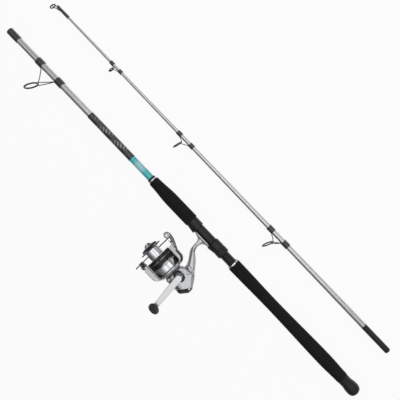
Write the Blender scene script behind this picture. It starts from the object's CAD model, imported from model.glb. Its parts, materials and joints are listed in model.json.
# %% [markdown]
# # Dressing a spinning rod and its reel
# This notebook takes a two-piece spinning rod with its reel, already built as solids, and gives every
# piece the skin that a tackle maker would give it. The solids never move. We hang better materials
# on them, stand a rounded or finer copy in for a few, and light the table.
# Read it from top to bottom: each cell makes one thing, says what it made, and the next one uses it.

# %% Bring in the fixed frame
import json
import math

import bpy
import numpy as np
from mathutils import Matrix, Vector


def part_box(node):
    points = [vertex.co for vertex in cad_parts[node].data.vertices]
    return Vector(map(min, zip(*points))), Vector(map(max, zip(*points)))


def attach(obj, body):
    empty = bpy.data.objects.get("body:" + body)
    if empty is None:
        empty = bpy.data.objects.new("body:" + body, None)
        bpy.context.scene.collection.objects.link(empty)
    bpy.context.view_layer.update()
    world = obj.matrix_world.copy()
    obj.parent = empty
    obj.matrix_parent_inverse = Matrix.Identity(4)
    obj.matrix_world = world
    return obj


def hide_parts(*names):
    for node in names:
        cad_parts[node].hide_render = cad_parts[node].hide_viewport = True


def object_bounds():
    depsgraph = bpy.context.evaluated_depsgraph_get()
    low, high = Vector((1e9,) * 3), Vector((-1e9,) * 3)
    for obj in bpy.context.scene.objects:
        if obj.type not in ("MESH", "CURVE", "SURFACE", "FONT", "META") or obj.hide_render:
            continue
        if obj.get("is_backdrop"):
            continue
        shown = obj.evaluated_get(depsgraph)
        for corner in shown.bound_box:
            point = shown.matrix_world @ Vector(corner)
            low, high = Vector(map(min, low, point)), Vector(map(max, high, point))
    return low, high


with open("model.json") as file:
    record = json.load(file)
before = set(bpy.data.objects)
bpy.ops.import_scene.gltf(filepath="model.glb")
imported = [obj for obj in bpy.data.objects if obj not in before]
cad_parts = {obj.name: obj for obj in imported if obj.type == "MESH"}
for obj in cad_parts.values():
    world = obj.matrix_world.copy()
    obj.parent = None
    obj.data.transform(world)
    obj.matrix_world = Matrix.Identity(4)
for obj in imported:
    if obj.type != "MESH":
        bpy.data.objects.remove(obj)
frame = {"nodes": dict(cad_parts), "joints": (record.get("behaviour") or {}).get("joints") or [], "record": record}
cad_low, cad_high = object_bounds()
nodes = frame["nodes"]
print("box", [round(v, 3) for v in cad_low], [round(v, 3) for v in cad_high])

# %% [markdown]
# ## Where the rod lies
# The rod rests on its grips and on the closed bail, so the whole butt section is rolled a little about
# its own length. Every detail is easier to draw as if the rod lay level with the reel pointing along Y,
# and then to be laid down with one matrix. The roll isn't typed in: the handle's joint says it, because
# the handle turns about an axis that is square to both the rod and the reel.

# %% The matrix that lays a rod drawing on the table
joints = {j["name"]: j for j in frame["joints"]}
up_from_reel = Vector(joints["crank_spin"]["axis"]).normalized()
roll = math.atan2(-up_from_reel.y, up_from_reel.z)
CAP = 5.0                             # the drawing's X starts this far behind the butt cap
LAY = Matrix.Translation((-CAP / 1000, 0, 0)) @ Matrix.Rotation(roll, 4, "X") @ Matrix.Scale(0.001, 4)


def laid(x, y, z):
    """A point of the rod drawing, in millimetres, where it lies on the table, in metres."""
    return LAY @ Vector((x, y, z))


print("the rod is rolled by", round(math.degrees(roll), 2), "degrees")

# %% [markdown]
# ## The camera
# A catalogue picture of a rod looks straight down on the reel's flat side, so that the rod, the reel
# foot and the bail all show in outline. We build the camera's own axes from the rod's: it looks along
# the handle's axis, and it is turned in the picture so that the rod runs from corner to corner.
# A lens of ordinary length from one metre away keeps the near handle knob a little larger.

# %% Stand the camera over the reel's flat side
view_turn = math.radians(133.75)      # the way the tip points in the picture
rod_way = Vector((1, 0, 0))
reel_way = Vector((0, math.cos(roll), math.sin(roll)))
picture_right = rod_way * math.cos(view_turn) - reel_way * math.sin(view_turn)
picture_up = rod_way * math.sin(view_turn) + reel_way * math.cos(view_turn)
camera_data = bpy.data.cameras.new("table_camera")
camera_data.sensor_width, camera_data.lens = 36, 40.95
camera = bpy.data.objects.new("table_camera", camera_data)
bpy.context.scene.collection.objects.link(camera)
camera_axes = Matrix((picture_right, picture_up, up_from_reel)).transposed().to_4x4()
camera.matrix_world = Matrix.Translation(laid(547.8, -44.8, 1001)) @ camera_axes
bpy.context.scene.camera = camera
print("camera at", [round(v, 3) for v in camera.location])

# %% [markdown]
# ## Shader sums written as ordinary sums
# A finish is mostly arithmetic: this much grain here, a thread every so many millimetres there.
# Clicking Math nodes together hides that arithmetic, so a small class called Line carries the value
# that comes out of a node, and `a * 2 + b` on two lines adds the Math nodes by itself. The reflected
# forms let us write `1 - mask`. A Finish owns one material, and its one method `node` makes any node:
# the kind, then its settings, then what is plugged into its sockets.

# %% Lines that carry values, and the finish they belong to
class Line:
    """What comes out of a node. Sums on lines add Math nodes."""

    def __init__(self, finish, socket):
        self.finish, self.socket = finish, socket

    def sum(self, kind, *others):
        return self.finish.node("ShaderNodeMath", {"operation": kind}, dict(enumerate((self, *others))))

    def __add__(self, other): return self.sum("ADD", other)
    def __radd__(self, other): return self.sum("ADD", other)
    def __sub__(self, other): return self.sum("SUBTRACT", other)
    def __mul__(self, other): return self.sum("MULTIPLY", other)
    def __rmul__(self, other): return self.sum("MULTIPLY", other)
    def __truediv__(self, other): return self.sum("DIVIDE", other)
    def __pow__(self, other): return self.sum("POWER", other)

    def __rsub__(self, other):
        return self.finish.node("ShaderNodeMath", {"operation": "SUBTRACT"}, {0: other, 1: self})

    def wave(self): return self.sum("SINE")
    def folded(self, size): return self.sum("PINGPONG", size)
    def size(self): return self.sum("ABSOLUTE")
    def held(self): return self.finish.node("ShaderNodeClamp", {}, {0: self})


class Finish:
    """One material, built round a Principled shader."""

    def __init__(self, name, colour, **fixed):
        came_with_solid = bpy.data.materials.get(name)
        if came_with_solid:
            came_with_solid.name = "plain_" + name
        self.name, self.material = name, bpy.data.materials.new(name)
        self.material.use_nodes = True
        self.tree = self.material.node_tree
        self.skin = self.tree.nodes["Principled BSDF"]
        self.colour = (*colour, 1)
        self.skin.inputs["Base Color"].default_value = self.colour
        for socket, value in fixed.items():
            self.skin.inputs[socket.replace("_", " ")].default_value = value

    def plug(self, socket, value):
        if isinstance(value, Line):
            self.tree.links.new(value.socket, socket)
        elif isinstance(value, (tuple, list)) and len(value) == 3 and len(socket.default_value) == 4:
            socket.default_value = (*value, 1)
        else:
            socket.default_value = value

    def node(self, kind, settings=None, sockets=None, out=0):
        made = self.tree.nodes.new(kind)
        for name, value in (settings or {}).items():
            setattr(made, name, value)
        for key, value in (sockets or {}).items():
            self.plug(made.inputs[key], value)
        return Line(self, made.outputs[out])

    def skin_takes(self, **lines):
        for socket, value in lines.items():
            self.plug(self.skin.inputs[socket.replace("_", " ")], value)


print("lines and finishes are ready")

# %% [markdown]
# ## Helpers every finish uses
# `place` gives where a point is on the laid rod, in millimetres, so that a pattern can be written with
# the same numbers as the drawing. `grain` is plain noise at a stated size in millimetres. `tinted`
# mixes two colours by a mask, with a Mix node, because a Math node would turn a colour grey.
# `relief` turns a height into a bump, and the height is in millimetres too. Moulded and sprayed parts
# never have a knife edge, so `soft_edge` rounds the shading of the edges with a Bevel node, and the
# relief is laid over it.

# %% Place, grain, tint and relief
def place(f, turned=roll, shift=(CAP / 1000, 0, 0)):
    """Lines x, y, z of the drawing, in millimetres, for a point that was laid on the table."""
    here = f.node("ShaderNodeTexCoord", {}, {}, "Object")
    back = f.node("ShaderNodeMapping", {"vector_type": "POINT"},
                  {"Vector": f.node("ShaderNodeMapping", {}, {"Vector": here, "Location": shift}),
                   "Rotation": (-turned, 0, 0), "Scale": (1000, 1000, 1000)})
    parts = [f.node("ShaderNodeSeparateXYZ", {}, {0: back}, i) for i in range(3)]
    return back, parts


def grain(f, where, millimetres, detail=2.0, rough=0.5):
    return f.node("ShaderNodeTexNoise", {}, {"Vector": where, "Scale": 1 / millimetres,
                                             "Detail": detail, "Roughness": rough})


def tinted(f, mask, one, other):
    return f.node("ShaderNodeMix", {"data_type": "RGBA"}, {0: mask, 6: one, 7: other}, 2)


def soft_edge(f, millimetres):
    return f.node("ShaderNodeBevel", {"samples": 6}, {"Radius": millimetres * 0.001})


def relief(f, height, millimetres, edge=0.0):
    sockets = {"Height": height, "Distance": millimetres * 0.001, "Strength": 1.0}
    if edge:
        sockets["Normal"] = soft_edge(f, edge)
    return f.node("ShaderNodeBump", {}, sockets)


def dye(red, green, blue):
    """A printed colour, 0 to 255 a channel, as the shader wants it."""
    return tuple(((c / 255 + 0.055) / 1.055) ** 2.4 if c > 10 else c / 255 / 12.92
                 for c in (red, green, blue))


print("a printed mid grey is", [round(c, 3) for c in dye(128, 128, 128)])

# %% [markdown]
# ## Closed-cell foam for the grips
# Rod grips are sheets of closed-cell foam bored, glued on and sanded round. Sanding opens the cells,
# so the surface is a dense field of tiny dimples with a soft bloom where hands have rubbed it. We
# use two sizes of cells for the relief and let a slow noise change the tone by a hair.

# %% Grip foam
def make_grip_foam():
    f = Finish("grip_foam", dye(30, 30, 31), Specular_IOR_Level=0.15)
    where, _ = place(f)
    cells = f.node("ShaderNodeTexVoronoi", {}, {"Vector": where, "Scale": 1.6}, "Distance")
    fine = grain(f, where, 0.35, 3.0, 0.7)
    bloom = grain(f, where, 22, 2.0)
    tone = (bloom * 0.75 + fine * 0.35 - 0.1).held()
    f.skin_takes(Base_Color=tinted(f, tone, dye(21, 21, 22), dye(36, 36, 37)),
                 Roughness=(fine * 0.2 + 0.74).held(),
                 Normal=relief(f, cells * 0.6 + fine * 0.4, 0.16))
    return f


grip_foam = make_grip_foam()
print("grip foam has", len(grip_foam.tree.nodes), "nodes")

# %% [markdown]
# ## Moulded rubber and plastic
# The butt cap is moulded rubber with a faint mould texture; the seat and its hoods are
# graphite-filled plastic, which comes out of the mould semi-bright with short flow streaks along
# the rod. One maker function serves both, with the numbers that differ given to it.

# %% Cap rubber, seat plastic and spigot
def make_moulded(name, low, high, rough, speck, depth, streak=1.0, coat=0.0, shine=0.3, edge=0.5):
    f = Finish(name, high, Specular_IOR_Level=shine, Coat_Roughness=0.25)
    where, (x, y, z) = place(f)
    long_ways = f.node("ShaderNodeCombineXYZ", {}, {0: x * streak, 1: y, 2: z})
    flow = grain(f, long_ways, 2.2, 4.0, 0.65)
    mould = grain(f, where, speck, 2.0, 0.6)
    f.skin_takes(Base_Color=tinted(f, flow, low, high),
                 Roughness=(flow * 0.14 + mould * 0.1 + rough - 0.12).held(),
                 Normal=relief(f, mould, depth, edge))
    f.skin.inputs["Coat Weight"].default_value = coat
    return f


cap_rubber = make_moulded("cap_rubber", dye(24, 24, 25), dye(36, 36, 37), 0.42, 0.5, 0.03)
seat_black = make_moulded("seat_black", dye(22, 22, 23), dye(36, 36, 38), 0.36, 0.4, 0.012, 0.15)
spigot_dark = make_moulded("spigot_dark", dye(28, 28, 30), dye(44, 44, 46), 0.5, 0.3, 0.01, 0.1)
inner_plastic = make_moulded("inner_plastic", dye(222, 219, 208), dye(236, 233, 224), 0.5, 0.6, 0.01)
print("moulded finishes:", [f.name for f in (cap_rubber, seat_black, spigot_dark, inner_plastic)])

# %% [markdown]
# ## The painted blank
# A blank is cloth rolled on a mandrel and cooked under a spiral of tape, then painted. The paint is a
# silver pearl under clear varnish: small flakes that each catch the light at their own angle, and
# under them the faint spiral that the tape left. The flakes are a cell noise that moves the metallic
# share and the roughness; the spiral is a very shallow wave that climbs one turn in 9 mm.

# %% Pearl blank
def make_pearl(name, low, high, turn=roll, shift=(0, 0, 0)):
    f = Finish(name, high, Coat_Roughness=0.06, IOR=1.5)
    where, (x, y, z) = place(f, turn, shift)
    flakes = f.node("ShaderNodeTexVoronoi", {"feature": "F1"}, {"Vector": where, "Scale": 6.0}, "Color")
    flake = f.node("ShaderNodeSeparateColor", {}, {0: flakes})
    cloud = grain(f, where, 14, 2.0)
    angle = y.sum("ARCTAN2", z)
    spiral = ((x / 9 * math.tau) + angle).wave()
    f.skin_takes(Base_Color=tinted(f, (flake * 0.35 + cloud * 0.65).held(), low, high),
                 Metallic=(flake * 0.15 + 0.85).held(),
                 Roughness=(flake * 0.14 + 0.2).held(),
                 Normal=relief(f, spiral * 0.5 + flake * 0.05, 0.02))
    f.skin.inputs["Coat Weight"].default_value = 0.4
    return f


blank_pearl = make_pearl("blank_pearl", dye(182, 183, 185), dye(206, 207, 209))
print("pearl blank done")

# %% [markdown]
# ## Coloured varnish and thread windings
# The turquoise band is paint under varnish. The guides are held by thread: a single nylon thread wound
# side by side, soaked in clear epoxy that levels to gloss. A winding therefore shows fine rings about
# a quarter of a millimetre apart under a smooth bright coat. The rings go into the base
# normal, and the coat stays smooth above them.

# %% Turquoise band
def make_teal():
    f = Finish("accent_teal", dye(60, 190, 196), Coat_Roughness=0.05, Specular_IOR_Level=0.5)
    where, (x, y, z) = place(f)
    cloud = grain(f, where, 6, 2.0)
    pale = (1 - ((x - 692).size() - 8) / 9).held()
    front = ((z + 5) / 8).held()
    varnish = tinted(f, cloud, dye(52, 180, 186), dye(66, 196, 202))
    f.skin_takes(Base_Color=tinted(f, pale * front * 0.55, varnish, dye(196, 226, 232)),
                 Roughness=(cloud * 0.1 + 0.25).held())
    f.skin.inputs["Coat Weight"].default_value = 0.7
    return f


accent_teal = make_teal()
print("turquoise band done")

# %% Thread windings and the collar
def make_thread(name, low, high, pitch=0.28):
    f = Finish(name, low, Coat_Roughness=0.04, Coat_IOR=1.5)
    where, (x, _, _) = place(f)
    rings = (x * (math.pi / pitch)).wave().size()
    fuzz = grain(f, where, 0.5, 2.0)
    f.skin_takes(Base_Color=tinted(f, (rings * 0.7 + fuzz * 0.4 - 0.2).held(), low, high),
                 Roughness=(fuzz * 0.15 + 0.34).held(),
                 Normal=relief(f, rings, 0.05))
    f.skin.inputs["Coat Weight"].default_value = 0.8
    return f


trim_black = make_thread("trim_black", dye(20, 20, 22), dye(44, 44, 47))
print("thread winding with rings every", 0.28, "mm")

# %% [markdown]
# ## The decorated sleeve
# Between the turquoise band and the bare blank there is a dark printed section. On this rod it
# carries only a plain pattern: slanting strokes of grey and grey-green that fade out along the rod,
# the kind of hatching that many makers put there. The strokes come from folding the
# place along the rod plus the angle round it.

# %% Decorated sleeve
def make_sleeve():
    f = Finish("sleeve_print", dye(30, 31, 33), Coat_Roughness=0.05, Specular_IOR_Level=0.5)
    where, (x, y, z) = place(f)
    angle = y.sum("ARCTAN2", z)
    slant = (x + angle * 6).folded(4.5) / 4.5
    broad = (x * 0.6 - angle * 9).folded(13) / 13
    fade = ((x - 722) / 22).held() * ((846 - x) / 30).held()
    wear = grain(f, where, 5, 3.0)
    strokes = ((slant - 0.42) * 6).held() * ((broad - 0.25) * 3).held()
    print_tint = tinted(f, broad, dye(96, 108, 108), dye(146, 150, 152))
    printed = (strokes * fade * (wear * 0.5 + 0.6)).held()
    f.skin_takes(Base_Color=tinted(f, printed, dye(29, 30, 32), print_tint),
                 Roughness=(wear * 0.12 + 0.24).held(),
                 Metallic=strokes * fade * 0.35)
    f.skin.inputs["Coat Weight"].default_value = 0.7
    return f


sleeve_print = make_sleeve()
print("sleeve print done")

# %% [markdown]
# ## Bare metals
# Wire guides, shafts and screws are stainless steel; the crank, spool and rings are aluminium. What
# tells them apart is how they were finished: drawn wire has hair-fine lines along it, and a polished
# trim has hardly any texture but small scuffs. One function makes them all from a colour, a roughness
# and the direction of its lines.

# %% One function for bare metal
EDGE_TINT = (0.12, 0.12, 0.13, 1)     # how much of its shine a metal keeps at a glancing angle


def make_metal(name, low, high, rough, lines=(1, 1, 1), depth=0.004, spread=0.12, speck=0.6, edge=0.4):
    f = Finish(name, high, Metallic=1.0, Specular_Tint=EDGE_TINT)
    where, (x, y, z) = place(f)
    drawn = f.node("ShaderNodeCombineXYZ", {}, {0: x * lines[0], 1: y * lines[1], 2: z * lines[2]})
    hair = grain(f, drawn, speck, 3.0, 0.6)
    smear = grain(f, where, 9, 3.0, 0.6)
    f.skin_takes(Base_Color=tinted(f, smear * 0.6 + hair * 0.4, low, high),
                 Roughness=(hair * spread + smear * spread + rough - spread).held(),
                 Normal=relief(f, hair, depth, edge))
    return f


guide_wire = make_metal("guide_wire", dye(78, 79, 81), dye(112, 113, 116), 0.26, (1, 1, 1), 0.006)
steel = make_metal("steel", dye(176, 177, 180), dye(200, 201, 204), 0.26, (0.2, 1, 1))
pinion_brass = make_metal("pinion_brass", dye(196, 160, 92), dye(222, 190, 120), 0.3, (0.3, 1, 1))
crank_silver = make_metal("crank_silver", dye(206, 207, 208), dye(220, 221, 222), 0.42,
                          (1, 0.3, 1), 0.006)
bright_trim = make_metal("bright_trim", dye(214, 216, 219), dye(236, 237, 240), 0.14,
                         (1, 1, 1), 0.002, 0.06)
ring_silver = make_metal("ring_silver", dye(206, 207, 210), dye(230, 231, 234), 0.24,
                         (3, 0.3, 0.3), 0.004, 0.08)
print("bare metals done")

# %% [markdown]
# ## Painted reel parts
# The reel's body and rotor are moulded and sprayed: silver with fine flakes, or black. Spray
# leaves a slight orange-peel skin, which is what makes its highlights wobble, and flakes make a
# grey sparkle that plain paint lacks.

# %% Reel silver, reel black and bail grey
DEEP_BLACK = dye(14, 14, 15)          # what a mask turns sprayed paint towards


def make_sprayed(name, low, high, metal, rough, coat, peel=0.03, edge=1.0, shine=0.5, mask_of=None):
    f = Finish(name, high, Coat_Roughness=0.12, Specular_IOR_Level=shine)
    where, spot = place(f)
    flakes = f.node("ShaderNodeTexVoronoi", {"feature": "F1"}, {"Vector": where, "Scale": 7.0}, "Color")
    flake = f.node("ShaderNodeSeparateColor", {}, {0: flakes})
    skin = grain(f, where, 1.1, 2.0)
    cloud = grain(f, where, 18, 2.0)
    paint = tinted(f, (flake * 0.4 + cloud * 0.6).held(), low, high)
    if mask_of:
        paint = tinted(f, mask_of(f, where, spot), DEEP_BLACK, paint)
    f.skin_takes(Base_Color=paint,
                 Metallic=(flake * 0.2 + metal).held(),
                 Roughness=(flake * 0.1 + cloud * 0.08 + rough).held(),
                 Normal=relief(f, skin, peel, edge))
    f.skin.inputs["Coat Weight"].default_value = coat
    return f


reel_silver = make_sprayed("reel_silver", dye(180, 181, 183), dye(206, 207, 209), 0.75, 0.24, 0.3)
reel_black = make_sprayed("reel_black", dye(16, 16, 17), dye(28, 28, 30), 0.0, 0.3, 0.15,
                          edge=0.8, shine=0.3)
bail_dark = make_sprayed("bail_dark", dye(92, 93, 96), dye(120, 121, 124), 0.7, 0.26, 0.2, edge=1.4)
print("sprayed finishes done")

# %% [markdown]
# ## Parts painted in two tones
# Several pieces carry two colours where the paint stops at a line. The winding check in front of the
# grip is silver with a black rear half, the drag knob is black with a pale rib across it, and the spool
# skirt's black band has a thin bright ring and a ragged brushed edge, a plain ornament with no picture
# in it. A mask made from the place on the laid rod says which colour is where. It moves the metallic
# share too, so that the silver stays metal and the black stays paint.

# %% One function for two tones
spool_y = 108.0                       # the spool's axis lies this far beside the rod's, in millimetres
RIB_HALF = 3.0                        # half the width of the rib across the drag knob


def make_two_tone(name, dark, bright, mask_of, rough=0.26, edge=0.6, metal=0.8):
    f = Finish(name, bright, Coat_Roughness=0.1, Specular_IOR_Level=0.3)
    where, spot = place(f)
    skin = grain(f, where, 0.8, 3.0)
    slow = grain(f, where, 9, 2.0)
    mask = mask_of(f, where, spot)
    tone = skin * 0.3 + slow * 0.5 + 0.1
    pale = tinted(f, tone.held(), tuple(c * 0.8 for c in bright), bright)
    deep = tinted(f, tone.held(), dark, tuple(c * 1.8 + 0.004 for c in dark))
    f.skin_takes(Base_Color=tinted(f, mask, deep, pale),
                 Metallic=mask * metal,
                 Roughness=(skin * 0.12 + slow * 0.06 + rough - 0.05).held(),
                 Normal=relief(f, skin, 0.015, edge))
    return f


def past(line, at, over=0.25):
    """0 before a place and 1 after it, over a short ramp."""
    return ((line - at) / over).held()


print("the drag knob's rib is", 2 * RIB_HALF, "mm wide")

# %% Masks for the winding check, the drag knob and the spool
def check_mask(f, where, spot):
    return 1 - past(spot[0], 652.7)


def cone_mask(f, where, spot):
    rib = 1 - past((spot[1] - spool_y).size(), RIB_HALF, 0.4)
    return past(spot[0], 552.2) * (rib * 0.85 + 0.12)


def skirt_mask(f, where, spot):
    x, y, z = spot
    angle = (y - spool_y).sum("ARCTAN2", z)
    torn = grain(f, f.node("ShaderNodeCombineXYZ", {}, {0: x * 0.5, 1: angle * 9}), 1.6, 2.0)
    brushed = 1 - past(x + torn * 9 + (angle * 4.5).wave() * 1.2, 506.5, 0.8)
    ring = past(x, 513.0) * (1 - past(x, 514.0)) * past((angle * 3).folded(1.2), 0.22, 0.08)
    return (brushed + ring).held()


def flank_mask(f, where, spot):
    """The skirt's black paint runs to its rear edge on both flanks."""
    x, y, z = spot
    beside = (y - spool_y).size() - 17 - (x - 486) * 0.55
    flank = past(beside, 0, 0.5) * past(x, 484) * (1 - past(x, 498.5))
    skirt = past(((y - spool_y) ** 2 + z * z).sum("SQRT"), 29)
    return 1 - flank * skirt


check_tone = make_two_tone("check_tone", dye(18, 18, 19), dye(206, 207, 209), check_mask, 0.22)
cone_tone = make_two_tone("cone_tone", dye(20, 20, 21), dye(186, 187, 189), cone_mask, 0.28, 1.0)
skirt_tone = make_two_tone("skirt_tone", dye(18, 18, 19), dye(176, 177, 180), skirt_mask, 0.28, 0.4)
lip_tone = make_sprayed("lip_tone", dye(44, 44, 46), dye(66, 66, 68), 0.7, 0.2, 0.2, edge=0.4)
spool_tone = make_two_tone("spool_tone", dye(18, 18, 19), dye(222, 223, 226), flank_mask, 0.2, 0.4, 0.95)
print("painted in two tones:", [f.name for f in (check_tone, cone_tone, skirt_tone, spool_tone)])

# %% [markdown]
# ## Shades on the castings
# A casting is one colour, but its seams, grooves and inserts read as darker lines. On the body they are
# the sides of the neck, the groove along the leg, the lower band of the cover and the black rear end.
# The rotor's far arm has a dark insert at its tip, where the bail's end is let in, and the cap over the
# roller has a dark rim. They are masks again, and all places are in millimetres of the laid rod.

# %% Masks for the body, the rotor and the roller's cap
def tip_mask(f, where, spot):
    """The tip of the far arm is dark where the bail's end is let into it."""
    x, y, _ = spot
    return 1 - past(x, 524, 1.0) * past(y, spool_y) * (1 - past(y, 146.2, 0.6))


def cap_mask(f, where, spot):
    """A dark rim round the pale middle of the cap."""
    x, y, _ = spot
    return 1 - past(((x - 542.3) ** 2 + (y - 61.0) ** 2).sum("SQRT"), 5.6, 0.8)


def body_mask(f, where, spot):
    """The neck's sides and the groove along the leg are darker, the rear end is black."""
    x, y, _ = spot
    sides = past((x - 482.6).size(), 2.7, 1.0) * past(y, 12, 3) * (1 - past(y, 38, 4))
    off_groove = (x - 483.3 + (y - 40.5) * 0.668).size()
    groove = (1 - past(off_groove, 0.5, 0.6)) * past(y, 42, 2) * (1 - past(y, 76))
    below = past(y, 113.5, 2)
    rear = (1 - past((x - 419) * 0.867 - (y - 104.3) * 0.499, 6.4, 0.5)) * past(y, 101, 0.5)
    return 1 - (sides * 0.62 + groove * 0.5 + below * 0.34 + rear).held()


body_tone = make_sprayed("body_tone", dye(170, 171, 173), dye(198, 199, 201), 0.75, 0.24, 0.3,
                         mask_of=body_mask)
rotor_tone = make_two_tone("rotor_tone", dye(30, 30, 31), dye(192, 193, 195), tip_mask, 0.26, 0.0, 0.8)
cap_tone = make_two_tone("cap_tone", dye(60, 60, 62), dye(196, 197, 199), cap_mask, 0.24, 0.0, 0.8)
print("shaded castings:", [f.name for f in (body_tone, rotor_tone, cap_tone)])

# %% [markdown]
# ## Ceramic, washers and the knob
# The guide rings are black glazed ceramic, almost glass-smooth. The drag washers are fibre and metal.
# The handle knob is soft-touch rubber, matte with a slight sheen where it is gripped.

# %% Ceramic, washer fibre and knob rubber
def make_plain(name, low, high, rough, size, depth, coat=0.0, detail=3.0):
    f = Finish(name, high, Specular_IOR_Level=0.5, Coat_Roughness=0.08)
    where, _ = place(f)
    spots = grain(f, where, size, detail, 0.65)
    slow = grain(f, where, size * 8, 2.0)
    f.skin_takes(Base_Color=tinted(f, (spots * 0.6 + slow * 0.4).held(), low, high),
                 Roughness=(spots * 0.12 + slow * 0.1 + rough - 0.1).held(),
                 Normal=relief(f, spots, depth))
    f.skin.inputs["Coat Weight"].default_value = coat
    return f


ring_ceramic = make_plain("ring_ceramic", dye(20, 20, 22), dye(34, 34, 36), 0.16, 1.2, 0.003, 0.2)
washer_fibre = make_plain("washer_fibre", dye(96, 84, 66), dye(136, 122, 98), 0.8, 0.5, 0.05)
knob_rubber = make_plain("knob_rubber", dye(9, 9, 10), dye(18, 18, 19), 0.5, 0.45, 0.04)
print("ceramic, fibre and rubber done")

# %% [markdown]
# ## Hang the finishes on the solids
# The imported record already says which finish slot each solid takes, so the finishes are hung by slot
# name. A few solids differ from their slot: the printed sleeve, the parts painted in two tones and the
# dark lip of the spool.

# %% Hang a finish on every solid
slots = {s["node"]: s["material_slot"] for s in frame["record"]["subparts"]}
finishes = {f.name: f for f in (
    grip_foam, cap_rubber, seat_black, spigot_dark, inner_plastic, blank_pearl, accent_teal, trim_black,
    guide_wire, steel, pinion_brass, crank_silver, bright_trim, ring_silver, reel_silver,
    reel_black, bail_dark, ring_ceramic, washer_fibre, knob_rubber)}
special = {"trim_sleeve": sleeve_print, "front_ring": check_tone, "drag_knob": cone_tone,
           "skirt_band": skirt_tone, "lip_ring": lip_tone, "bail_wire": guide_wire,
           "spool": spool_tone}


def hang(piece, finish):
    if not piece.material_slots:
        piece.data.materials.append(finish.material)
    for s in piece.material_slots:
        s.material = finish.material


for name, solid in nodes.items():
    hang(solid, special.get(name) or finishes[slots[name]])
print("hung", len(finishes) + len(special), "finishes on", len(nodes), "solids")

# %% [markdown]
# ## Drawing our own pieces
# Fine pieces are made from rings of points. `skin_over` takes a grid of points, row after row, and
# closes it round, so a thread, a knob or a ribbed cap is only a function from two
# numbers to a point. Everything is drawn in rod millimetres and laid down by the same matrix. `own_piece`
# puts a mesh in the scene, hangs its finish and says which slot and body it belongs to.

# %% A grid of points becomes a closed skin
def own_piece(name, mesh, finish, body):
    piece = bpy.data.objects.new(name, mesh)
    bpy.context.scene.collection.objects.link(piece)
    hang(piece, finish)
    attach(piece, body)
    return piece


def round_about(count):
    """The angles of an even ring of points."""
    return np.linspace(0, math.tau, count, endpoint=False)


def oval_reach(angle, power):
    """How far a ring with flattened corners reaches, against an ellipse, at an angle."""
    return (abs(math.cos(angle)) ** power + abs(math.sin(angle)) ** power) ** (-1 / power)


def skin_over(name, rows, finish, body):
    """rows is a list of equal rings of points, in millimetres, each ring closed on itself."""
    count = len(rows[0])
    points = [LAY @ Vector(p) for row in rows for p in row]
    faces = []
    for start in range(0, (len(rows) - 1) * count, count):
        for i in range(count):
            after = (i + 1) % count
            faces.append((start + i, start + after, start + count + after, start + count + i))
    faces += [tuple(range(count))[::-1], tuple((len(rows) - 1) * count + i for i in range(count))]
    mesh = bpy.data.meshes.new(name)
    mesh.from_pydata(points, [], faces)
    mesh.update()
    mesh.polygons.foreach_set("use_smooth", [len(p.vertices) == 4 for p in mesh.polygons])
    slot = finish.name if finish.name in finishes else "reel_black"
    return own_piece(name, mesh, finish, body)


print("skin_over is ready")

# %% [markdown]
# ## The thread on the reel seat
# Behind the reel foot the seat is a threaded barrel: the lock nut runs on it and pushes the
# sliding hood over the foot. The solid is a plain tube, so the real thread is cut here. Its
# radius dips by half a millimetre once a turn, and because the dip moves on with the angle, the
# groove is a true helix and not a stack of rings.

# %% Cut the seat's thread
def thread_radius(x, angle, outer=10.9, depth=0.55, pitch=1.5, start=399.2, end=459.5):
    share = ((x - start) / pitch - angle / math.tau) % 1.0
    cut = depth * (1 - abs(2 * share - 1)) ** 0.8
    ease = max(0.0, min(1.0, (x - start) / 1.2, (end - x) / 1.2))
    return outer - cut * ease


def make_threaded_seat(around=40):
    stations = [397.8, 398.2] + list(np.arange(399.2, 459.6, 0.25)) + [460.4, 461.5]
    rows = []
    for x in stations:
        rows.append([(x, thread_radius(x, a) * math.cos(a), thread_radius(x, a) * math.sin(a))
                     for a in round_about(around)])
    for x, r in ((461.8, 11.25), (462.2, 11.4), (495, 11.4), (527.9, 11.4), (528.0, 11.3)):
        rows.append([(x, r * math.cos(a), r * math.sin(a)) for a in round_about(around)])
    return skin_over("threaded_seat", rows, seat_black, "rod")


threaded_seat = make_threaded_seat()
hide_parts("reel_seat")
print("thread of", len(threaded_seat.data.vertices), "points")

# %% [markdown]
# ## Castings with soft edges
# The reel's body, its rotor and the crank are cast or moulded, and nothing that leaves a mould has a
# knife edge. Bevelling an edge of a solid that was cut from many others rarely works. We instead lay an
# even skin of small faces over a copy of it with a voxel Remesh, and let a Smooth modifier wear the
# edges down: how often it smooths sets how round they get. The copy may first be reshaped by a rule.

# %% Lay a soft skin over a solid
UNLAY = LAY.inverted()


def applied(piece):
    done = bpy.data.meshes.new_from_object(piece.evaluated_get(bpy.context.evaluated_depsgraph_get()))
    piece.modifiers.clear()
    piece.data = done


def redraw(piece, rule):
    """Move every point by a rule on arrays x, y, z of the drawing, in millimetres."""
    flat = np.empty(len(piece.data.vertices) * 3)
    piece.data.vertices.foreach_get("co", flat)
    there, back = np.array(LAY), np.array(UNLAY)
    drawn = flat.reshape(-1, 3) @ back[:3, :3].T + back[:3, 3]
    drawn = np.stack(rule(*drawn.T), axis=1)
    piece.data.vertices.foreach_set("co", (drawn @ there[:3, :3].T + there[:3, 3]).ravel())


def smooth(piece, rounds, where=None):
    worn = piece.modifiers.new("worn_edges", "SMOOTH")
    worn.factor, worn.iterations = 0.5, rounds
    if where:
        group = piece.vertex_groups.new(name="worn")
        for v in piece.data.vertices:
            share = where(*(UNLAY @ v.co))
            if share > 0:
                group.add([v.index], share, "REPLACE")
        worn.vertex_group = "worn"
    applied(piece)


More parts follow.
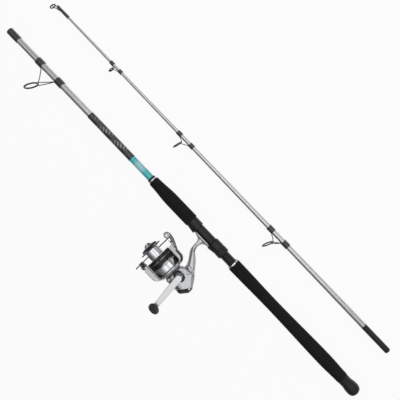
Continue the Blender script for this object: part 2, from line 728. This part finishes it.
def cast_copy(node, finish, body, voxel=0.7, rounds=8, rule=None, worn=None):
    piece = own_piece(node + "_cast", nodes[node].data.copy(), finish, body)
    even = piece.modifiers.new("even_faces", "REMESH")
    even.mode, even.voxel_size, even.use_smooth_shade = "VOXEL", voxel * 0.001, True
    applied(piece)
    if rule:
        redraw(piece, rule)
    smooth(piece, rounds)
    if worn:
        smooth(piece, 40, worn)
    hang(piece, finish)
    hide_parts(node)
    print(piece.name, len(piece.data.polygons), "faces")
    return piece


# %% Cast the body, its cover, the rotor and the crank
def leg_rule(x, y, z):
    """In front of the rib the leg's two faces slant away; behind it the leg is a little fuller."""
    ahead = (x - 479) * 0.823 + (y - 45) * 0.568
    on_leg = (y > 22) & (y < 86)
    limit = np.where(ahead > 0, 5.0 - 0.42 * ahead, 7.0)
    fuller = 3.4 * np.clip((y - 38) / 16, 0, 1) * np.clip((106 - y) / 26, 0, 1) * np.clip(-ahead / 9, 0, 1)
    slanted = np.sign(z) * np.minimum(np.abs(z), np.maximum(limit, 2.0))
    return x - 0.823 * fuller, y - 0.568 * fuller, np.where(on_leg, slanted, z)


def neck(x, y, z):
    return max(0.0, min(1.0, (y - 17) / 4, (44 - y) / 6))


def cover_rule(x, y, z):
    """The side away from the rod falls off in one broad bevel."""
    limit = 15.5 - 0.5 * np.maximum(0, y - 119)
    return x, y, np.where(z > 11.5, np.minimum(z, np.maximum(limit, 11.5)), z)


def arm_tip_rule(x, y, z):
    """The arm on the rod's side thins to a lug under its bail pivot."""
    towards_rod = spool_y - y
    lug = (x > 521) & (towards_rod > 29) & (towards_rod < 41.4)
    return x, np.where(lug, spool_y - 41.4, y), z


castings = [cast_copy("reel_body", body_tone, "rod", 0.7, 7, leg_rule, neck),
            cast_copy("side_cover", body_tone, "rod", 0.6, 5, cover_rule),
            cast_copy("rotor", rotor_tone, "rotor", 0.6, 8, arm_tip_rule),
            cast_copy("crank_arm", crank_silver, "crank", 0.6, 14)]

# %% [markdown]
# ## The bail arm and the cap over its roller
# The arm on the rod's side sweeps out from its pivot and hooks round the line roller. It is a casting of
# changing height: a list of stations along it gives the middle and the half-height, and each station is
# an oval ring. A dished cap, turned about the roller's screw, closes the hook. The screws of the two bail
# pivots are turned in the same way, about the pivot's axis.

# %% Sweep the bail arm
def make_bail_arm(around=20):
    # x, how far out from the spool's axis, half the height and half the depth, in millimetres
    stations = ((504.5, 42.9, 0.5, 2.6), (507, 43.3, 1.0, 3.4), (512, 44.5, 2.0, 4.2),
                (518, 46.4, 3.0, 4.4), (524, 47.8, 4.4, 4.4), (530, 49.8, 4.2, 4.2),
                (536, 51.0, 4.0, 3.8), (542, 50.6, 4.3, 3.4), (546.5, 48.6, 4.6, 3.0),
                (549.3, 46.0, 3.6, 2.6), (550.2, 44.6, 1.4, 1.6))
    rows = []
    for x, out, half, deep in stations:
        ring = []
        for a in round_about(around):
            reach = oval_reach(a, 2.6)
            ring.append((x, spool_y - out - half * reach * math.cos(a),
                         deep * reach * math.sin(a) + (0.4 if x < 534 else 1.0)))
        rows.append(ring)
    piece = skin_over("bail_arm_cast", rows, bail_dark, "bail")
    curve = piece.modifiers.new("flow", "SUBSURF")
    curve.levels = curve.render_levels = 2
    return piece


bail_arm_cast = make_bail_arm()
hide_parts("bail_arm")
print("bail arm of", len(bail_arm_cast.data.vertices), "points before it is made to flow")

# %% Turn the roller's cap and the pivot screws
def turned_about(name, profile, centre, finish, body, along="Z", around=48):
    """profile is a list of (radius, place along the axis), in millimetres, from one end to the other."""
    rows = []
    for r, at in profile:
        ring = []
        for a in round_about(around):
            c, t = r * math.cos(a), r * math.sin(a)
            ring.append((centre[0] + c, centre[1] + t, at) if along == "Z" else (centre[0] + c, at, t))
        rows.append(ring)
    return skin_over(name, rows, finish, body)


cap_profile = ((1.7, 1.2), (6.9, 1.2), (7.5, 2.0), (7.4, 3.0), (6.7, 4.3), (5.2, 5.0),
               (3.6, 5.1), (3.3, 4.4), (1.7, 4.3))
roller_cap = turned_about("roller_cap", cap_profile, (542.3, spool_y - 47.0), cap_tone, "bail")

pivot = (526.0, spool_y)
shank = [(1.9, spool_y - 49.5), (1.9, spool_y - 41.6)]
inner_screw = turned_about("bail_screw_inner", shank, pivot, steel, "rotor", "Y", 24)
headed = [(r, spool_y + at) for r, at in ((1.9, 35), (1.9, 43.3), (3.5, 43.3), (3.6, 44.2),
                                          (3.1, 44.7), (1.2, 44.8), (1.1, 44.3))]
outer_screw = turned_about("bail_screw_outer", headed, pivot, steel, "rotor", "Y", 32)
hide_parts("bail_screws")
print("turned:", [piece.name for piece in (roller_cap, inner_screw, outer_screw)])

# %% [markdown]
# ## The drag knob
# The knob that sets the drag is a low cone on the end of the spool, with a rib across it to turn it by
# and a notched rim. It is turned like any lathe piece, but the radius also depends on the angle: outside
# the rib the cone is cut lower, and the rim dips twelve times round.

# %% Turn the drag knob
NOTCHES = 12


def make_drag_knob(around=144):
    stations = ((540.4, 8.4), (546.6, 8.4), (546.8, 19.6), (547.3, 20.4), (549.6, 20.2),
                (551.0, 18.9), (552.3, 16.0), (553.6, 13.4), (555.4, 10.9), (557.2, 8.9),
                (558.6, 7.4), (559.4, 5.6), (559.6, 1.0))
    rows = []
    for x, r in stations:
        ring = []
        for a in round_about(around):
            radius = r
            if 547 < x < 551.5:
                radius -= 0.8 * max(0.0, math.cos(NOTCHES * a)) ** 3
            if x > 552.5:
                rib = RIB_HALF / max(abs(math.cos(a)), 0.01)
                radius = max(r * 0.74, min(r, rib))
            ring.append((x, spool_y + radius * math.cos(a), radius * math.sin(a)))
        rows.append(ring)
    return skin_over("drag_knob_turned", rows, cone_tone, "drag")


drag_knob_turned = make_drag_knob()
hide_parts("drag_knob")
print("drag knob of", len(drag_knob_turned.data.vertices), "points")

# %% [markdown]
# ## The handle knob
# A power knob is a soft rubber grip on a plain pin: round where it meets the crank, swelling to a
# flat oval where finger and thumb close on it, and domed at its end. We draw one ring of points per
# height and let the two half-widths of the oval change with the height. Three shallow grooves run
# round the swell for grip, and a smooth oval is sunk into the end.

# %% Shape the knob
knob_low, knob_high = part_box("knob")


def oval(height):
    """Half-length and half-width of the knob at a height, both in millimetres."""
    table = ((0, 6.3, 6.1), (2, 6.8, 6.3), (5, 9.2, 7.3), (9, 11.6, 8.0), (13, 12.3, 8.2), (17, 12.0, 7.8),
             (21, 10.8, 6.9), (25, 8.8, 5.7), (27.5, 6.9, 4.6), (28.4, 5.2, 3.6), (28.5, 4.8, 3.3))
    heights = [t[0] for t in table]
    return [float(np.interp(height, heights, [t[k] for t in table])) for k in (1, 2)]


def make_knob(centre_x=453.4, centre_y=175.5, base=66.2, around=48, swell=14):
    heights = np.round(np.concatenate([np.linspace(0, 27.5, 56), [27.9, 28.2, 28.4, 28.5]]), 3)
    rows = []
    for h in heights:
        long_side, short_side = oval(h)
        groove = 0.45 * max(0.0, math.cos((h - swell) * math.tau / 3.6)) ** 3 if abs(h - swell) < 5.4 else 0.0
        ring = []
        for a in round_about(around):
            reach = oval_reach(a, 2.3)
            ring.append((centre_x + (long_side - groove) * reach * math.cos(a),
                         centre_y + (short_side - groove) * reach * math.sin(a), base + h))
        rows.append(ring)
    for h, share in ((28.25, 0.93), (28.2, 0.5)):
        rows.append([(centre_x + 4.8 * share * math.cos(a), centre_y + 3.3 * share * math.sin(a), base + h)
                     for a in round_about(around)])
    return skin_over("knob_grip", rows, knob_rubber, "knob")


knob_grip = make_knob()
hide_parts("knob")
print("knob of", len(knob_grip.data.vertices), "points; its solid spans",
      [round(v * 1000, 1) for v in knob_high - knob_low], "mm")

# %% [markdown]
# ## The table and the light
# The table is a plain white floor, and its shadow stays. A part of what the camera and the
# reflections see of it is plain white light, so that the floor stays bright without more light on
# the rod. The studio is a pale room: bright overhead, greyer towards the horizon and on the reel's
# side, so that round metal has edges. Two broad lamps give the long highlights.

# %% The floor
OWN_LIGHT = 0.92                      # how much of the floor that the camera sees is plain white


def make_floor():
    low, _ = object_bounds()
    mesh = bpy.data.meshes.new("floor")
    ring = [(0.55 + 7 * math.cos(a), 7 * math.sin(a), low.z - 0.0003) for a in round_about(96)]
    mesh.from_pydata(ring, [], [tuple(range(96))])
    floor = bpy.data.objects.new("floor", mesh)
    bpy.context.scene.collection.objects.link(floor)
    paper = Finish("floor_paper", (0.9, 0.9, 0.9), Roughness=0.9, Specular_IOR_Level=0.1)
    rays = [paper.node("ShaderNodeLightPath", {}, {}, kind) for kind in
            ("Is Camera Ray", "Is Glossy Ray", "Is Transmission Ray")]
    glow = paper.node("ShaderNodeEmission", {}, {"Color": (1, 1, 1), "Strength": 1.0})
    seen = (rays[0] + rays[1] + rays[2]).held() * OWN_LIGHT
    paint = Line(paper, paper.skin.outputs[0])
    mixed = paper.node("ShaderNodeMixShader", {}, {0: seen, 1: paint, 2: glow})
    paper.tree.links.new(mixed.socket, paper.tree.nodes["Material Output"].inputs["Surface"])
    mesh.materials.append(paper.material)
    floor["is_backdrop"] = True
    return floor


floor = make_floor()
print("floor at", round(floor.data.vertices[0].co.z, 4))

# %% The room
# stops of (direction, level): from the floor to the ceiling, and from the tip section's side of the
# table to the reel's side
UP_STOPS = ((-1.0, 0.2), (0.3, 0.22), (0.6, 0.62), (1.0, 0.88))
ACROSS_STOPS = ((-1.0, 1.0), (0.1, 1.0), (0.45, 0.3), (1.0, 0.22))


def make_room():
    world = bpy.data.worlds.new("room")
    bpy.context.scene.world = world
    world.use_nodes = True
    tree = world.node_tree
    back = tree.nodes["Background"]
    where = tree.nodes.new("ShaderNodeTexCoord")
    split = tree.nodes.new("ShaderNodeSeparateXYZ")
    tree.links.new(where.outputs["Generated"], split.inputs[0])

    def graded(output, stops):
        """A grey that follows one direction of the room, from stops of (direction, level)."""
        spread = tree.nodes.new("ShaderNodeMapRange")
        spread.inputs["From Min"].default_value = -1.0
        tree.links.new(split.outputs[output], spread.inputs["Value"])
        ramp = tree.nodes.new("ShaderNodeValToRGB")
        tree.links.new(spread.outputs["Result"], ramp.inputs[0])
        for stop in stops[2:]:
            ramp.color_ramp.elements.new(1.0)
        for element, (way, level) in zip(ramp.color_ramp.elements, stops):
            element.position, element.color = (way + 1) / 2, (level, level, level, 1)
        return ramp.outputs[0]

    both = tree.nodes.new("ShaderNodeMix")
    both.data_type, both.blend_type = "RGBA", "MULTIPLY"
    both.inputs[0].default_value = 1.0
    tree.links.new(graded(2, UP_STOPS), both.inputs[6])
    tree.links.new(graded(1, ACROSS_STOPS), both.inputs[7])
    tree.links.new(both.outputs[2], back.inputs["Color"])
    back.inputs["Strength"].default_value = 1.0


make_room()
print("the room is brightest overhead at", UP_STOPS[-1][1])

# %% The lamps
def lamp(name, where, at, size, power):
    data = bpy.data.lights.new(name, "AREA")
    data.shape, data.size, data.size_y, data.energy = "RECTANGLE", size[0], size[1], power
    one = bpy.data.objects.new(name, data)
    one.location = where
    one.rotation_euler = (Vector(at) - Vector(where)).to_track_quat("-Z", "Y").to_euler()
    bpy.context.scene.collection.objects.link(one)
    return one


middle = (cad_low + cad_high) / 2
lamps = [lamp("long_lamp", (0.55, -2.0, 1.5), middle, (2.6, 0.9), 11),
         lamp("soft_fill", (0.3, -0.5, 2.5), middle, (2.0, 1.2), 5)]
bpy.context.scene.view_settings.view_transform = "Standard"
print("lamps:", [l.name for l in lamps])
